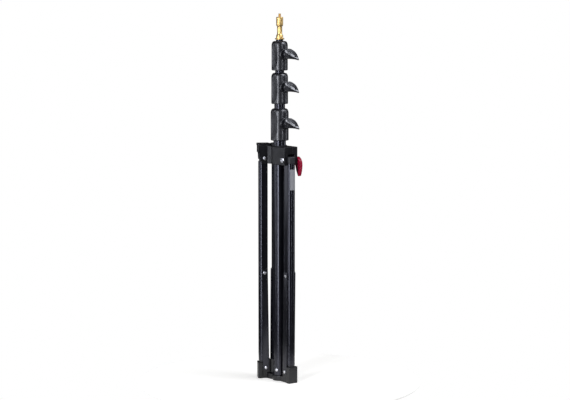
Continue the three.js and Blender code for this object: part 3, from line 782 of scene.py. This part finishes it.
def brace_bar(letter, side_name, side):
    name = f"brace_bar_{side_name}_{letter}"
    low_pin = pivot(f"brace_{letter}_open")
    top_pin = pivot(f"leg_{letter}_open")
    inset = (Vector((top_pin.x, top_pin.y)) - Vector((low_pin.x, low_pin.y))).length
    mid_height = sum(span(f"mid_rivet_right_{letter}", 2)) / 2
    lean = math.atan2(inset, mid_height - low_pin.z)
    top = math.hypot(mid_height - low_pin.z, inset) + BAR_TOP_REACH
    corner_x, corner_z = BAR_HALF - BAR_CORNER, top - BAR_CORNER
    outline = arc((0, 0), BAR_HALF, 180, 360, 20)
    outline += arc((corner_x, corner_z), BAR_CORNER, 0, 90, 5)
    outline += arc((-corner_x, corner_z), BAR_CORNER, 90, 180, 5)
    bar = prism(f"{name}_pressed", outline, -BAR_THICKNESS / 2, BAR_THICKNESS / 2)
    bevel(bar, BAR_EDGE, 3, 50)
    middle = side * (BAR_IN + BAR_THICKNESS / 2)
    at_low_pin = Matrix.Translation((-inset, middle, low_pin.z))
    place(bar, leg_matrix(letter) @ at_low_pin @ Matrix.Rotation(lean, 4, "Y") @ XY_TO_XZ)
    shade(bar, 40)
    finish_piece(bar, name)


def rivet_head_profile(seat, height, stem, stem_from):
    """A domed head with a small punch mark, on a stem."""
    rim, steps = seat + 0.3, 8
    top = seat + height
    profile = [(0, stem_from), (stem, stem_from), (stem, seat), (HEAD_RADIUS, seat), (HEAD_RADIUS, rim)]
    for i in range(1, steps):
        turn = math.radians(90 * i / steps)
        profile.append((HEAD_RADIUS * math.cos(turn) * 0.98, rim + (top - rim) * math.sin(turn)))
    return profile + [(0.9, top), (0.5, top - 0.35), (0, top - 0.4)]


def mid_rivet(letter, side_name, side):
    name = f"mid_rivet_{side_name}_{letter}"
    height = sum(span(name, 2)) / 2
    head = turned(f"{name}_head", rivet_head_profile(MID_RIVET_SEAT, 1.75, 2.5, 10.5), 40)
    turn = Matrix.Rotation(-side * math.pi / 2, 4, "X")
    place(head, leg_matrix(letter) @ Matrix.Translation((0, 0, height)) @ turn)
    finish_piece(head, name)


def cross_pin(name, letter, seat, joint):
    """A pin across a leg with a domed head at both ends."""
    centre = leg_matrix(letter).inverted() @ pivot(joint)
    head = rivet_head_profile(seat, 1.65, 2.6, 0)
    mirrored = [(radius, -height) for radius, height in reversed(head[1:])]
    pin = turned(f"{name}_headed", mirrored + head[1:], 40)
    place(pin, leg_matrix(letter) @ Matrix.Translation((centre.x, 0, centre.z)) @ UPRIGHT_TO_Y)
    finish_piece(pin, name)


def softened_copy(node_name, voxel, rounds):
    """A CAD casting remeshed finely, with its edges rounded."""
    copy = new_object(f"{node_name}_moulded", NODES[node_name].data.copy())
    soften(copy, voxel, rounds)
    finish_piece(copy, node_name)


def foot(letter):
    softened_copy(f"foot_{letter}", voxel=0.6, rounds=3)


# ------------------------------------------------------------------ leg collar, lever and lower casting

def castings():
    for name in ("leg_collar_casting", "lower_casting"):
        softened_copy(name, voxel=0.7, rounds=3)


def column_rivet():
    low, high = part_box("column_rivet")
    middle = (low + high) / 2 / MM
    turn = math.atan2(middle.y, middle.x)
    seat = outer_radius("base_tube") + 0.1
    head = turned("column_rivet_head", rivet_head_profile(seat, 1.7, 2.6, 9), 40)
    place(head, Matrix.Translation((0, 0, middle.z)) @ Matrix.Rotation(turn, 4, "Z") @ UPRIGHT_TO_X)
    finish_piece(head, "column_rivet")


def clamp_lever():
    softened_copy("clamp_lever", voxel=0.4, rounds=8)


def clamp_screw():
    """The screw through both ears, with a hexagonal head and a chamfered, dished end."""
    name = "clamp_screw"
    centre = pivot("clamp_lever_swing")
    low, high = span(name, 1)
    seat = low + CLAMP_HEAD_HEIGHT
    head = rod(f"{name}_headed", CLAMP_HEAD_RADIUS, low, seat, 6)
    bevel(head, 0.5, 3, 20)
    dish = turned("dish", [(0, low - 1), (3.6, low - 1), (3.2, low + 0.5), (0, low + 0.6)], 40)
    combine(head, [dish], "DIFFERENCE")
    end = [(CLAMP_SHANK_RADIUS, high - 0.4), (CLAMP_SHANK_RADIUS - 0.4, high), (0, high)]
    shank = turned("shank", [(0, seat - 1), (CLAMP_SHANK_RADIUS, seat - 1), *end], 40)
    combine(head, [shank])
    place(head, Matrix.Translation((centre.x, 0, centre.z)) @ UPRIGHT_TO_Y)
    shade(head, 30)
    finish_piece(head, name)


# ------------------------------------------------------------------ the whole stand

make_camera()
make_lights()
make_world()
make_floor()

for tube_name in TUBE_NODES:
    round_tube(tube_name)
for collar_index, collar_place in enumerate(COLLAR_NAMES):
    riser_collar(collar_place, collar_index)
    wing_knob(collar_place)
stud()
castings()
column_rivet()
clamp_lever()
clamp_screw()
leg_label()
for leg_letter in LEG_NAMES:
    leg_tube(leg_letter)
    foot(leg_letter)
    for bar_side, bar_sign in (("right", -1), ("left", 1)):
        brace_bar(leg_letter, bar_side, bar_sign)
        mid_rivet(leg_letter, bar_side, bar_sign)
    cross_pin(f"lower_pin_{leg_letter}", leg_letter, LOWER_PIN_SEAT, f"brace_{leg_letter}_open")
for leg_letter in ("a", "b"):
    cross_pin(f"top_pin_{leg_letter}", leg_letter, TOP_PIN_SEAT, f"leg_{leg_letter}_open")

# CAD nodes that stay as they are get their slot's material.
for node_name, cad_object in NODES.items():
    if not cad_object.hide_render:
        cad_object.data.materials.clear()
        cad_object.data.materials.append(LOOKS[SLOT_OF[node_name]])

scene = bpy.context.scene
scene.view_settings.view_transform = "Standard"
